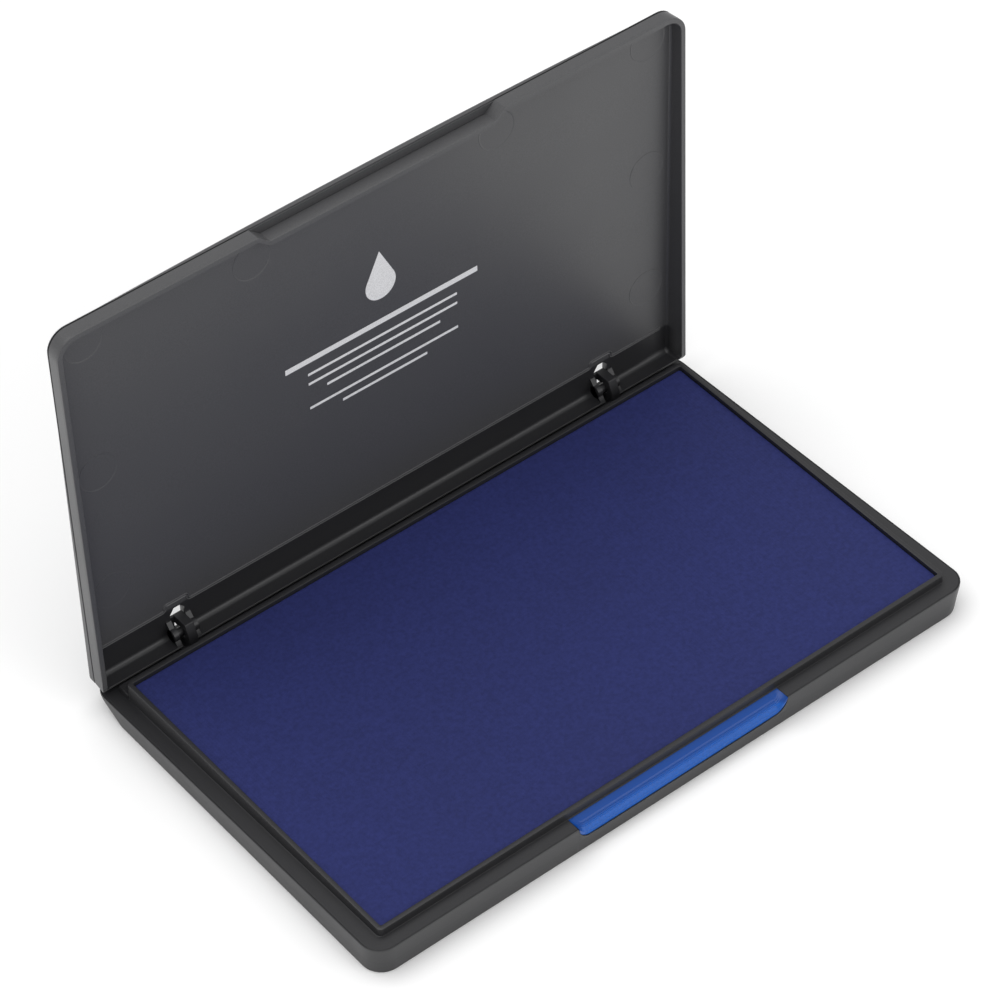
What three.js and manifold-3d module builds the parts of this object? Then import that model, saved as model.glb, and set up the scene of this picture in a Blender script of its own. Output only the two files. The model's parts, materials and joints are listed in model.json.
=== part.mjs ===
// Office ink pad: a flat black plastic case with a hinged lid, open to show an inked cloth pad.
// Units are millimetres. +X runs along the hinge, +Y from the front edge to the hinge, +Z up.
// The origin lies on the table plane, under the centre of the pad.
import * as THREE from 'three';
import { mergeVertices } from 'three/addons/utils/BufferGeometryUtils.js';
import Module from 'manifold-3d';

// ---- Driving dimensions -------------------------------------------------------------------

// Pad opening, and the thin rim that stands round it
const padLength = 160;
const padDepth = 89.2;
const rimThickness = 1.2;
const rimTop = 10.4;
const padRecess = 1.15;

// Base: the shoulder is the flat ledge outside the rim, and it falls towards the hinge
const sideShoulder = 4.2;
const frontShoulder = 4.0;
const rearShoulder = 8.6;
const frontHeight = 8.4;
const shoulderSlope = -0.031;
const cornerRadius = 5.2;
const lidRearRadius = 2.6;
const wallDraft = 0.078;
const shellWall = 1.5;
const floorThickness = 1.5;
const lipWidth = 0.5;
const rearLip = 2.2;
const undercutSlope = 0.65;
const undercutFoot = 3.4;

// Pad frame and what it holds
const plateThickness = 1.5;
const trayFloor = 1.2;
const backingThickness = 0.8;
const clothThickness = 0.6;

// Colour insert: a thumb scoop in the middle of the front edge
const insertLength = 60;
const insertSill = 4.7;
const insertCornerRadius = 3;
const insertFlange = 3;
const scoopRidgeIn = 1.6;
const scoopRidgeDrop = 0.55;
const scoopEndSlope = 2.4;

// Lid
const lidBand = 3.8;
const lidWall = 1.3;
const panelThickness = 1.1;
const panelLift = 0.45;
const crownSlope = -0.0115;
const crownRise = 1.3;
const crownEdge = 0.7;
const grooveWidth = 0.3;
const fingerLength = 67;
const fingerDepth = 2.4;
const fingerEndSlope = 2.9;

// Hinge: snap knuckles on the pad frame turn on short pins that cross slots in the lid
const hingeSpacing = 124;
const hingeShift = 1;
const hingeInset = 2.5;
const hingeLift = 3.6;
const slotWidth = 4;
const slotLength = 9.6;
const gussetWidth = 1.3;
const gussetLength = 6.7;
const backWall = 1.4;
const backWallReach = 2.4;
const pinRadius = 1.1;
const bossWall = 0.5;
const knuckleWidth = 2.4;
const knuckleTop = 3.2;
const knuckleBack = 3;
const knuckleFront = 2.5;
const knuckleLean = 1.1;
const knuckleRound = 0.5;
const snapMouth = 1.8;
const shelfRise = 1.4;
const openAngle = 90;

// Clearances
const seam = 0.3;
const padGap = 0.35;
const pinGap = 0.3;
const slotGap = 0.35;
const rimGap = 0.3;

// ---- Sizes that follow --------------------------------------------------------------------

const rimHalfX = padLength / 2 + rimThickness;
const rimHalfY = padDepth / 2 + rimThickness;
const caseHalfX = rimHalfX + sideShoulder;
const caseFront = -rimHalfY - frontShoulder;
const caseBack = rimHalfY + rearShoulder;
const shoulderAt = (y) => frontHeight + shoulderSlope * (y - caseFront);
const hingeY = caseBack - hingeInset;
const hingeZ = shoulderAt(hingeY) + hingeLift;
const hingeRadius = hingeLift - rimGap;
const lidBack = hingeY + hingeRadius;
const panelAt = (y) => rimTop + panelLift + crownSlope * (y - rimHalfY);
const crownAt = (y) => panelAt(y) + panelThickness;
const bandAt = (y) => shoulderAt(y) + rimGap + lidBand;
const slotFront = lidBack - slotLength;
const shelfBack = hingeY - hingeRadius + rimGap;
const clothTop = rimTop - padRecess;
const trayBottom = floorThickness + seam;
const backingBottom = trayBottom + trayFloor + seam;
const feltBottom = backingBottom + backingThickness + seam;
const feltTop = clothTop - clothThickness - seam;
const clothHalfX = padLength / 2 - padGap;
const clothHalfY = padDepth / 2 - padGap;
const feltHalfX = clothHalfX - clothThickness - seam;
const feltHalfY = clothHalfY - clothThickness - seam;
const wellAbove = 20;

// ---- Solids -------------------------------------------------------------------------------

const wasm = await Module();
wasm.setup();

function toSolid(geometry) {
  const bare = geometry.clone();
  bare.deleteAttribute('normal');
  bare.deleteAttribute('uv');
  const merged = mergeVertices(bare, 1e-4);
  return new wasm.Manifold(new wasm.Mesh({
    numProp: 3,
    vertProperties: new Float32Array(merged.attributes.position.array),
    triVerts: new Uint32Array(merged.index.array),
  }));
}

function toGeometry(body) {
  const mesh = body.getMesh();
  const geometry = new THREE.BufferGeometry();
  geometry.setAttribute('position', new THREE.BufferAttribute(new Float32Array(mesh.vertProperties), 3));
  geometry.setIndex(new THREE.BufferAttribute(new Uint32Array(mesh.triVerts), 1));
  geometry.computeVertexNormals();
  return geometry;
}

function block(x0, x1, y0, y1, z0, z1) {
  const box = new THREE.BoxGeometry(x1 - x0, y1 - y0, z1 - z0);
  box.translate((x0 + x1) / 2, (y0 + y1) / 2, (z0 + z1) / 2);
  return toSolid(box);
}

function rodAlongX(radius, x0, x1, y, z) {
  const rod = new THREE.CylinderGeometry(radius, radius, x1 - x0, 48);
  rod.rotateZ(Math.PI / 2);
  rod.translate((x0 + x1) / 2, y, z);
  return toSolid(rod);
}

// A solid with a (y, z) outline, carried along X.
function barAlongX(outline, x0, x1) {
  const shape = outline instanceof THREE.Shape
    ? outline : new THREE.Shape(outline.map(([y, z]) => new THREE.Vector2(y, z)));
  const bar = new THREE.ExtrudeGeometry(shape, { depth: x1 - x0, bevelEnabled: false, curveSegments: 10 });
  bar.applyMatrix4(new THREE.Matrix4().set(0, 0, 1, x0, 1, 0, 0, 0, 0, 1, 0, 0, 0, 0, 0, 1));
  return toSolid(bar);
}

// A solid with an (x, z) outline, carried along Y.
function barAlongY(outline, y0, y1) {
  const shape = outline instanceof THREE.Shape
    ? outline : new THREE.Shape(outline.map(([x, z]) => new THREE.Vector2(x, z)));
  const bar = new THREE.ExtrudeGeometry(shape, { depth: y1 - y0, bevelEnabled: false, curveSegments: 10 });
  bar.applyMatrix4(new THREE.Matrix4().set(1, 0, 0, 0, 0, 0, -1, y1, 0, 1, 0, 0, 0, 0, 0, 1));
  return toSolid(bar);
}

function roundedShape(halfX, front, back, radius, rear) {
  const shape = new THREE.Shape();
  shape.absarc(halfX - rear, back - rear, rear, 0, Math.PI / 2);
  shape.absarc(-halfX + rear, back - rear, rear, Math.PI / 2, Math.PI);
  shape.absarc(-halfX + radius, front + radius, radius, Math.PI, Math.PI * 1.5);
  shape.absarc(halfX - radius, front + radius, radius, Math.PI * 1.5, Math.PI * 2);
  return shape;
}

// A solid whose rounded outline is moved inwards from level to level. Each level gives a height,
// which may change with y, and how far its outline lies inside the first one at that height.
// The two corners at the back can have their own radius.
function stack(halfX, front, back, radius, levels, rear = radius) {
  const steps = levels.length - 1;
  const geometry = new THREE.ExtrudeGeometry(roundedShape(halfX, front, back, radius, rear),
    { depth: steps, steps, bevelEnabled: false, curveSegments: 8 });
  const position = geometry.attributes.position;
  for (let i = 0; i < position.count; i += 1) {
    const level = levels[Math.round(position.getZ(i))];
    const x = position.getX(i);
    const y = position.getY(i);
    const corner = y > (front + back) / 2 ? rear : radius;
    const centreX = THREE.MathUtils.clamp(x, -halfX + corner, halfX - corner);
    const centreY = THREE.MathUtils.clamp(y, front + radius, back - rear);
    const reach = Math.hypot(x - centreX, y - centreY);
    let newY = y;
    let inset = 0;
    for (let pass = 0; pass < 4; pass += 1) {
      inset = level.inset(level.height(newY));
      newY = y - ((y - centreY) / reach) * inset;
    }
    position.setXYZ(i, x - ((x - centreX) / reach) * inset, newY, level.height(newY));
  }
  return toSolid(geometry);
}

const flat = (z) => () => z;

// ---- Base ---------------------------------------------------------------------------------

const hingeCentres = [hingeShift - hingeSpacing / 2, hingeShift + hingeSpacing / 2];

// The outline of the front window: square at the top, rounded at its lower corners.
function windowShape(half, sill, radius) {
  const shape = new THREE.Shape();
  shape.moveTo(-half, wellAbove);
  shape.lineTo(-half, sill + radius);
  shape.absarc(-half + radius, sill + radius, radius, Math.PI, Math.PI * 1.5);
  shape.absarc(half - radius, sill + radius, radius, Math.PI * 1.5, Math.PI * 2);
  shape.lineTo(half, wellAbove);
  return shape;
}

// The sloped underside at the back, moved forwards by inset.
function undercut(inset) {
  const foot = caseBack - 3 - undercutFoot - inset;
  const reach = 30;
  return barAlongX([[foot, 0], [foot - reach, -reach * undercutSlope],
    [foot + reach, -reach * undercutSlope], [foot + reach, reach * undercutSlope]], -200, 200);
}

// The outer shape of the base between two heights, moved inwards by extra.
function drafted(extra, bottomAt, topAt) {
  const inset = (z) => extra + wallDraft * (frontHeight - z);
  return stack(caseHalfX, caseFront, caseBack, cornerRadius,
    [{ height: bottomAt, inset }, { height: topAt, inset }]);
}

function baseShell() {
  const slopedInset = shellWall * Math.hypot(1, undercutSlope) / undercutSlope;
  const above = flat(frontHeight + 2);
  const rearRim = block(-200, 200, caseBack - rearLip, caseBack + 1, 0, wellAbove);
  const cavity = drafted(shellWall, flat(floorThickness), above).subtract(undercut(slopedInset))
    .subtract(rearRim);
  const rebate = drafted(lipWidth, (y) => shoulderAt(y) - plateThickness - seam, above)
    .subtract(rearRim);
  const window = barAlongY(windowShape(insertLength / 2 + seam, insertSill - seam, insertCornerRadius),
    caseFront - 2, caseFront + shellWall + 2);
  return drafted(0, flat(0), shoulderAt)
    .subtract(undercut(0))
    .subtract(cavity)
    .subtract(rebate)
    .subtract(window);
}

// A snap knuckle stands at the right-hand side of its slot, with a C-shaped bore for the pin.
function knuckle(centre) {
  const right = centre + slotWidth / 2 - slotGap;
  const left = right - knuckleWidth;
  const front = hingeY - knuckleFront;
  const foot = front - knuckleLean;
  const back = hingeY + knuckleBack;
  const top = hingeZ + knuckleTop;
  const root = shoulderAt(foot) - plateThickness / 2;
  const overhang = shoulderAt(caseBack) + rimGap;
  const plateEdge = caseBack - rearLip - 2 * seam;
  const shape = new THREE.Shape();
  shape.moveTo(foot, root);
  shape.lineTo(plateEdge, root);
  shape.lineTo(plateEdge, overhang);
  shape.lineTo(back, overhang);
  shape.absarc(back - knuckleRound, top - knuckleRound, knuckleRound, 0, Math.PI / 2);
  shape.absarc(front + knuckleRound, top - knuckleRound, knuckleRound, Math.PI / 2, Math.PI);
  return barAlongX(shape, left, right)
    .subtract(rodAlongX(pinRadius + pinGap, left - 1, right + 1, hingeY, hingeZ))
    .subtract(block(left - 1, right + 1, hingeY, lidBack + 1,
      hingeZ - snapMouth / 2, hingeZ + snapMouth / 2));
}

function padFrame() {
  const plate = drafted(lipWidth + seam, (y) => shoulderAt(y) - plateThickness, shoulderAt)
    .subtract(block(-200, 200, caseBack - rearLip - seam, caseBack + 1, 0, wellAbove))
    .subtract(block(-insertLength / 2 - seam, insertLength / 2 + seam,
      caseFront - 1, -rimHalfY + rimThickness / 2, 0, wellAbove));
  const well = block(-rimHalfX, rimHalfX, -rimHalfY, rimHalfY, trayBottom, rimTop);
  const inside = block(-padLength / 2, padLength / 2, -padDepth / 2, padDepth / 2,
    trayBottom + trayFloor, wellAbove);
  const shelf = block(-rimHalfX, rimHalfX, rimHalfY - rimThickness / 2, shelfBack,
    shoulderAt(rimHalfY) - plateThickness / 2, shoulderAt(rimHalfY) + shelfRise);
  let body = plate.add(well).add(shelf).subtract(inside);
  for (const centre of hingeCentres) body = body.add(knuckle(centre));
  return body;
}

function colourInsert() {
  const half = insertLength / 2;
  const back = -rimHalfY - seam;
  const face = barAlongY(windowShape(half, insertSill, insertCornerRadius), caseFront - 2, back)
    .intersect(drafted(0, flat(0), shoulderAt));
  const innerFace = caseFront + shellWall + seam + wallDraft * frontHeight;
  const flangeTop = shoulderAt(back) - plateThickness - seam;
  const flange = block(-half - insertFlange, half + insertFlange, innerFace, back,
    floorThickness + seam, flangeTop);

  // The scoop falls gently from the rim to a ridge, then steeply to the sill. Its ends slope.
  const ridge = [back - scoopRidgeIn, shoulderAt(back) - scoopRidgeDrop];
  const outline = [
    [back + 0.01, wellAbove], [back + 0.01, shoulderAt(back) - 0.05], ridge,
    [caseFront, insertSill + 0.25], [caseFront - 2, insertSill - 1.2], [caseFront - 2, wellAbove],
  ];
  const inward = [0, scoopEndSlope, scoopEndSlope, scoopEndSlope, scoopEndSlope, 0];
  const shape = new THREE.Shape(outline.map(([y, z]) => new THREE.Vector2(y, z)));
  const scoop = new THREE.ExtrudeGeometry(shape, { depth: 2, bevelEnabled: false });
  const position = scoop.attributes.position;
  for (let i = 0; i < position.count; i += 1) {
    const y = position.getX(i);
    const z = position.getY(i);
    const corner = outline.findIndex(([cy, cz]) => Math.hypot(cy - y, cz - z) < 1e-3);
    const reach = half + (inward[corner] > 0 ? -inward[corner] : scoopEndSlope);
    position.setXYZ(i, position.getZ(i) > 1 ? reach : -reach, y, z);
  }
  return face.subtract(toSolid(scoop)).add(flange);
}

// ---- Pad ----------------------------------------------------------------------------------

const backingSheet = () => block(-feltHalfX, feltHalfX, -feltHalfY, feltHalfY,
  backingBottom, backingBottom + backingThickness);

const inkFelt = () => block(-feltHalfX, feltHalfX, -feltHalfY, feltHalfY, feltBottom, feltTop);

function coverCloth() {
  const outer = block(-clothHalfX, clothHalfX, -clothHalfY, clothHalfY, backingBottom, clothTop);
  const inner = block(-clothHalfX + clothThickness, clothHalfX - clothThickness,
    -clothHalfY + clothThickness, clothHalfY - clothThickness, 0, clothTop - clothThickness);
  return outer.subtract(inner);
}

// ---- Lid, drawn shut ----------------------------------------------------------------------

// A slab under an arch that runs from side to side and tilts with the crown.
function underCrown() {
  const segments = 24;
  const reach = caseHalfX + 2;
  const outline = [[-reach, -40], [reach, -40]];
  for (let i = 0; i <= segments; i += 1) {
    const x = reach - (2 * reach * i) / segments;
    outline.push([x, crownRise * (1 - (x / caseHalfX) ** 2)]);
  }
  const shape = new THREE.Shape(outline.map(([x, z]) => new THREE.Vector2(x, z)));
  const arch = new THREE.ExtrudeGeometry(shape, { depth: 140, bevelEnabled: false });
  const position = arch.attributes.position;
  for (let i = 0; i < position.count; i += 1) {
    const y = 70 - position.getZ(i);
    position.setXYZ(i, position.getX(i), y, position.getY(i) + crownAt(y));
  }
  return toSolid(arch);
}

// A trapezium in plan at the front edge, longer outside than inside.
function fingerRecess(grow, bottom, top) {
  const outer = fingerLength / 2 + grow;
  const inner = outer - fingerEndSlope;
  const back = caseFront + fingerDepth + grow;
  const overrun = 3;
  const shape = new THREE.Shape([
    new THREE.Vector2(outer + fingerEndSlope * overrun / fingerDepth, caseFront - overrun),
    new THREE.Vector2(inner, back),
    new THREE.Vector2(-inner, back),
    new THREE.Vector2(-outer - fingerEndSlope * overrun / fingerDepth, caseFront - overrun),
  ]);
  const prism = new THREE.ExtrudeGeometry(shape, { depth: top - bottom, bevelEnabled: false });
  prism.translate(0, 0, bottom);
  return toSolid(prism);
}

// Two webs beside a slot, between the panel and the back wall. They hold the ends of the pin.
function hingeGussets(centre) {
  const half = slotWidth / 2 + gussetWidth;
  const inner = lidBack - backWall / 2;
  const bite = panelThickness / 2;
  const start = hingeY + backWallReach - gussetLength + backWall;
  const web = barAlongX([[start, panelAt(start) + bite], [start, panelAt(start)],
    [inner - backWall / 2, hingeZ - backWallReach], [inner, hingeZ - backWallReach / 2],
    [inner, panelAt(inner) + bite]], centre - half, centre + half);
  const boss = rodAlongX(pinRadius + bossWall, centre - half, centre + half, hingeY, hingeZ);
  const slot = block(centre - slotWidth / 2, centre + slotWidth / 2, hingeY - 12, lidBack + 1,
    0, wellAbove);
  return web.add(boss).subtract(slot);
}

function lidShell() {
  const rimAt = (y) => shoulderAt(y) + rimGap;
  const topInset = lidBand * wallDraft;
  const body = stack(caseHalfX, caseFront, lidBack, cornerRadius, [
    { height: rimAt, inset: () => 0 },
    { height: bandAt, inset: () => topInset },
    { height: (y) => Math.max(crownAt(y) - crownEdge, bandAt(y) + 0.05), inset: () => topInset },
    { height: (y) => crownAt(y) + 3 * crownEdge, inset: () => topInset + 3 * crownEdge },
  ], lidRearRadius).intersect(underCrown());

  // Below the hinge line the back of the lid is rounded about the hinge axis, and the back wall
  // ends above the rim so that its edge isn't a knife's.
  const lowerBack = block(-200, 200, hingeY, hingeY + 20, -20, hingeZ);
  const backRound = lowerBack.subtract(rodAlongX(hingeRadius, -210, 210, hingeY, hingeZ));
  const backEnd = block(-caseHalfX + lidWall + backWall, caseHalfX - lidWall - backWall,
    hingeY, hingeY + 20, -20, hingeZ - backWallReach);
  const cavity = stack(caseHalfX - lidWall, caseFront + lidWall, lidBack - backWall,
    cornerRadius - lidWall, [
      { height: flat(0), inset: () => 0 },
      { height: panelAt, inset: () => topInset },
    ], lidRearRadius - lidWall).subtract(fingerRecess(lidWall, 0, wellAbove));

  const groove = stack(caseHalfX + 1, caseFront - 1, lidBack + 1, cornerRadius + 1, [
    { height: bandAt, inset: () => 0 },
    { height: (y) => bandAt(y) + grooveWidth, inset: () => 0 },
  ], lidRearRadius + 1).subtract(stack(caseHalfX, caseFront, lidBack, cornerRadius, [
    { height: flat(0), inset: () => topInset + grooveWidth },
    { height: flat(wellAbove), inset: () => topInset + grooveWidth },
  ], lidRearRadius));

  let shell = body.subtract(backRound).subtract(backEnd).subtract(cavity).subtract(groove)
    .subtract(fingerRecess(0, 0, bandAt(caseFront)));
  for (const centre of hingeCentres) {
    shell = shell.subtract(block(centre - slotWidth / 2, centre + slotWidth / 2,
      slotFront, lidBack + 1, 0, wellAbove));
    shell = shell.add(hingeGussets(centre));
    shell = shell.add(rodAlongX(pinRadius, centre - slotWidth / 2 - gussetWidth / 2,
      centre + slotWidth / 2 + gussetWidth / 2, hingeY, hingeZ));
  }
  return shell;
}

// ---- Assembly -----------------------------------------------------------------------------

const blackPlastic = { color: 0x2b2b2e, roughness: 0.45, metalness: 0 };
const finishes = {
  shell: blackPlastic,
  insert: { color: 0x1c55a8, roughness: 0.2, metalness: 0 },
  backing: { color: 0xd8d4c8, roughness: 0.8, metalness: 0 },
  felt: { color: 0x1d1f4e, roughness: 0.95, metalness: 0 },
  cloth: { color: 0x262a5e, roughness: 0.85, metalness: 0 },
};

function piece(name, body, finish) {
  const mesh = new THREE.Mesh(toGeometry(body), new THREE.MeshStandardMaterial(finish));
  mesh.name = name;
  return mesh;
}

const base = new THREE.Group();
base.add(piece('base_shell', baseShell(), finishes.shell));
base.add(piece('pad_frame', padFrame(), finishes.shell));
base.add(piece('colour_insert', colourInsert(), finishes.insert));
base.add(piece('backing_sheet', backingSheet(), finishes.backing));
base.add(piece('ink_felt', inkFelt(), finishes.felt));
base.add(piece('cover_cloth', coverCloth(), finishes.cloth));

const lidMesh = piece('lid_shell', lidShell(), finishes.shell);
lidMesh.geometry.translate(0, -hingeY, -hingeZ);
const lid = new THREE.Group();
lid.position.set(0, hingeY, hingeZ);
lid.rotation.x = -THREE.MathUtils.degToRad(openAngle);
lid.add(lidMesh);

const inkPad = new THREE.Group();
inkPad.add(base, lid);

export default inkPad;
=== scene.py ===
import json
from math import asin, cos, pi, radians, sin

import bpy
import bmesh
import numpy as np
from mathutils import Matrix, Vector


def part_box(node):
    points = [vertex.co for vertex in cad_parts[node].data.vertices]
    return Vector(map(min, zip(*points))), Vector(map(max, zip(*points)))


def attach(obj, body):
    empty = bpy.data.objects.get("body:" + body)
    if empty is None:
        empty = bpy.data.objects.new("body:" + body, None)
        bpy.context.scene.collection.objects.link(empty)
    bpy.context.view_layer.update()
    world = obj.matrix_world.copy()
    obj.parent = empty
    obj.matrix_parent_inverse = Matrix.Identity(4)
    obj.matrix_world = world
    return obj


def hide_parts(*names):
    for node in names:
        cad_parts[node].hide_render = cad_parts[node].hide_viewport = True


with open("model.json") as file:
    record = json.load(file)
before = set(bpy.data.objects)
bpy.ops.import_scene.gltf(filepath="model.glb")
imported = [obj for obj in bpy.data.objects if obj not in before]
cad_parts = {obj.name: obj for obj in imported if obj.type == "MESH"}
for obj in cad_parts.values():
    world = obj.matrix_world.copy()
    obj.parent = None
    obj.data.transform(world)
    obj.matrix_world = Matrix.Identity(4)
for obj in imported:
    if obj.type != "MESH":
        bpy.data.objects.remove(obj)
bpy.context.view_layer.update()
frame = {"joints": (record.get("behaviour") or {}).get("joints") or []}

scene = bpy.context.scene


# ---- Table top, light and camera ----------------------------------------------------------
# The case stands open on a plain white table top. A long lens looks down on it over the left
# end of the front edge. A large soft light hangs overhead, a weak one fills the front, and the
# room is white.

def look_along(azimuth, elevation, roll, place):
    """Camera matrix for a view along azimuth (0 is +Y, positive towards +X), down by elevation."""
    a, e = radians(azimuth), radians(elevation)
    forward = np.array([sin(a) * cos(e), cos(a) * cos(e), -sin(e)])
    level = np.array([cos(a), -sin(a), 0.0])
    upright = np.cross(level, forward)
    turn = radians(roll)
    right = cos(turn) * level + sin(turn) * upright
    above = cos(turn) * upright - sin(turn) * level
    return Matrix([[right[i], above[i], -forward[i], place[i]] for i in range(3)] + [[0, 0, 0, 1]])


camera_data = bpy.data.cameras.new("camera")
camera_data.lens = 150.2
camera_data.sensor_width = 36
camera_data.clip_start = 0.05
camera_data.clip_end = 20
camera = bpy.data.objects.new("camera", camera_data)
scene.collection.objects.link(camera)
camera.matrix_world = look_along(azimuth=38.45, elevation=45.11, roll=-0.92,
                                 place=(-0.40407, -0.49531, 0.69283))
scene.camera = camera

table_data = bpy.data.meshes.new("table_top")
table_data.from_pydata([(-4, -4, 0), (4, -4, 0), (4, 4, 0), (-4, 4, 0)], [], [(0, 1, 2, 3)])
table = bpy.data.objects.new("table_top", table_data)
scene.collection.objects.link(table)
white = bpy.data.materials.new("white_table")
white.use_nodes = True
white_shader = white.node_tree.nodes["Principled BSDF"]
white_shader.inputs["Base Color"].default_value = (0.96, 0.96, 0.96, 1)
white_shader.inputs["Roughness"].default_value = 0.9
white_shader.inputs["Specular IOR Level"].default_value = 0.1
table_data.materials.append(white)

world = bpy.data.worlds.new("white_room")
world.use_nodes = True
world.node_tree.nodes["Background"].inputs["Color"].default_value = (1, 1, 1, 1)
world.node_tree.nodes["Background"].inputs["Strength"].default_value = 0.68
scene.world = world
scene.view_settings.view_transform = "Standard"


def soft_light(name, place, target, size, power):
    """A square area light at place, turned to face target."""
    data = bpy.data.lights.new(name, "AREA")
    data.size = size
    data.energy = power
    light = bpy.data.objects.new(name, data)
    scene.collection.objects.link(light)
    back = np.array(place, float) - np.array(target, float)
    back /= np.linalg.norm(back)
    side = np.cross((0, 0, 1), back)
    side /= np.linalg.norm(side)
    top = np.cross(back, side)
    light.matrix_world = Matrix([[side[i], top[i], back[i], place[i]] for i in range(3)]
                                + [[0, 0, 0, 1]])


soft_light("key_light", place=(-0.3, 0.2, 1.5), target=(0, 0, 0.03), size=1.5, power=13)
soft_light("front_fill", place=(0.5, -1.3, 0.9), target=(0, 0, 0.03), size=1.0, power=5)


# ---- Base shell ---------------------------------------------------------------------------
# The outer dish of the case, moulded in satin black plastic. Its walls lean out a little, the
# underside slopes up at the back, and a thin lip round the top takes the pad frame. The front
# wall has a window for the colour insert. Sizes are in millimetres.

def corners_mm(node):
    """A CAD node's lowest and highest corners, in millimetres."""
    return np.round(np.array(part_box(node)) * 1000, 3)


CASE_HALF = corners_mm("lid_shell")[1][0]
CASE_FRONT, FRONT_HEIGHT = corners_mm("base_shell")[0][1], corners_mm("base_shell")[1][2]
CASE_BACK, CASE_CORNER, INNER_CORNER = 54.4, 5.2, 3.5
LEDGE_SLOPE, DRAFT = 0.031, 0.078
UNDERCUT_FOOT, UNDERCUT_SLOPE = 48.0, 0.65
WALL, FLOOR, REBATE = 1.5, 1.5, 1.8
LIP, REAR_LIP = 0.32, 52.2
CORE_HALF, CORE_FRONT, CORE_BACK = 79.6, -44.0, 48.6
FRONT_WALL = -45.0
WINDOW_HALF, WINDOW_SILL, WINDOW_CORNER = 30.07, 4.64, 3.7


def shoulder(y):
    """Height of the ledge round the case, which falls towards the hinge."""
    return FRONT_HEIGHT - LEDGE_SLOPE * (np.asarray(y, float) - CASE_FRONT)


def across(reach, count, extra):
    """Places along x: count even ones from -reach to reach, and the extra ones on both sides."""
    extra = np.array(extra)
    return np.unique(np.concatenate([np.linspace(-reach, reach, count), extra, -extra]))


def loop(half, front, back, corner, columns, rows, steps=8, rear=None):
    """Plan points of a rounded rectangle, anticlockwise from the left end of the front side:
    the given columns on the front and back, the given rows on the ends, arcs at the corners,
    those at the back with their own radius."""
    a = np.linspace(0, pi / 2, steps + 1)
    rear = corner if rear is None else rear

    def arc(x, y, start, radius=corner):
        return np.column_stack([x + radius * np.cos(start + a), y + radius * np.sin(start + a)])

    def side(x, y):
        return np.column_stack(np.broadcast_arrays(x, y))

    return np.vstack([
        side(columns, front), arc(half - corner, front + corner, -pi / 2),
        side(half, rows), arc(half - rear, back - rear, 0, rear),
        side(columns[::-1], back), arc(-half + rear, back - rear, pi / 2, rear),
        side(-half, rows[::-1]), arc(-half + corner, front + corner, pi)])


def at_height(points, z):
    """The plan points with a height, which is a number, an array or a function of (x, y)."""
    x, y = points[:, 0], points[:, 1]
    height = z(x, y) if callable(z) else z
    return np.column_stack([x, y, np.broadcast_to(height, x.shape)])


def quads_between(levels, count):
    """Quads that join each closed loop of count points to the next one."""
    i = np.arange(count)
    j = np.arange(levels - 1)[:, None] * count
    after = (i + 1) % count
    return np.stack([j + i, j + after, j + count + after, j + count + i], -1).reshape(-1, 4).tolist()


def filled(ring_start, first_free, columns, rows, steps, height, down=False):
    """Fills a rounded rectangle: a grid of columns and rows, strips out to the loop's sides and
    one face in each corner, turned over if down. Returns the grid's points and the faces."""
    nc, nr, na = len(columns), len(rows), steps + 1
    x, y = np.meshgrid(columns, rows)
    points = at_height(np.column_stack([x.ravel(), y.ravel()]), height)
    grid = first_free + np.arange(nr * nc).reshape(nr, nc)
    front = ring_start + np.arange(nc)
    c1 = front[-1] + 1 + np.arange(na)
    right = c1[-1] + 1 + np.arange(nr)
    c2 = right[-1] + 1 + np.arange(na)
    back = c2[-1] + 1 + np.arange(nc)
    c3 = back[-1] + 1 + np.arange(na)
    left = c3[-1] + 1 + np.arange(nr)
    c4 = left[-1] + 1 + np.arange(na)
    back, left = back[::-1], left[::-1]

    def cells(g):
        return np.stack([g[:-1, :-1], g[:-1, 1:], g[1:, 1:], g[1:, :-1]], -1).reshape(-1, 4).tolist()

    faces = cells(grid) + cells(np.stack([front, grid[0]])) + cells(np.stack([grid[-1], back]))
    faces += cells(np.stack([grid[:, -1], right], 1)) + cells(np.stack([left, grid[:, 0]], 1))
    faces += [[front[-1], *c1, right[0], grid[0, -1]], [right[-1], *c2, back[-1], grid[-1, -1]],
              [back[0], *c3, left[-1], grid[-1, 0]], [left[0], *c4, front[0], grid[0, 0]]]
    faces = [[int(v) for v in f] for f in faces]
    return points, [f[::-1] for f in faces] if down else faces


def shell(levels, columns, rows, steps=8, floor=None, top=None):
    """A skin: loops joined in order, then a filled top, and a filled bottom if floor is given."""
    count = len(levels[0])
    points, faces = [np.vstack(levels)], quads_between(len(levels), count)
    total = len(points[0])
    for start, height, down in ((0, floor, True), (total - count, top, False)):
        if height is None:
            continue
        more, extra = filled(start, total, columns, rows, steps, height, down)
        points.append(more)
        faces += extra
        total += len(more)
    return np.vstack(points), faces


def joined(*parts):
    """Several (points, faces) as one."""
    points, faces, start = [], [], 0
    for p, f in parts:
        points.append(p)
        faces += [[v + start for v in face] for face in f]
        start += len(p)
    return np.vstack(points), faces


WELD = 0.0005


def welded_mesh(name, points, faces, weld, turn_outwards):
    """A mesh with its doubled points merged, and its faces turned outwards if asked."""
    mesh = bpy.data.meshes.new(name)
    mesh.from_pydata(points.tolist(), [], faces)
    work = bmesh.new()
    work.from_mesh(mesh)
    bmesh.ops.remove_doubles(work, verts=work.verts, dist=weld)
    bmesh.ops.dissolve_degenerate(work, edges=work.edges, dist=weld)
    if turn_outwards:
        bmesh.ops.recalc_face_normals(work, faces=work.faces)
    work.to_mesh(mesh)
    work.free()
    return mesh


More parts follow.
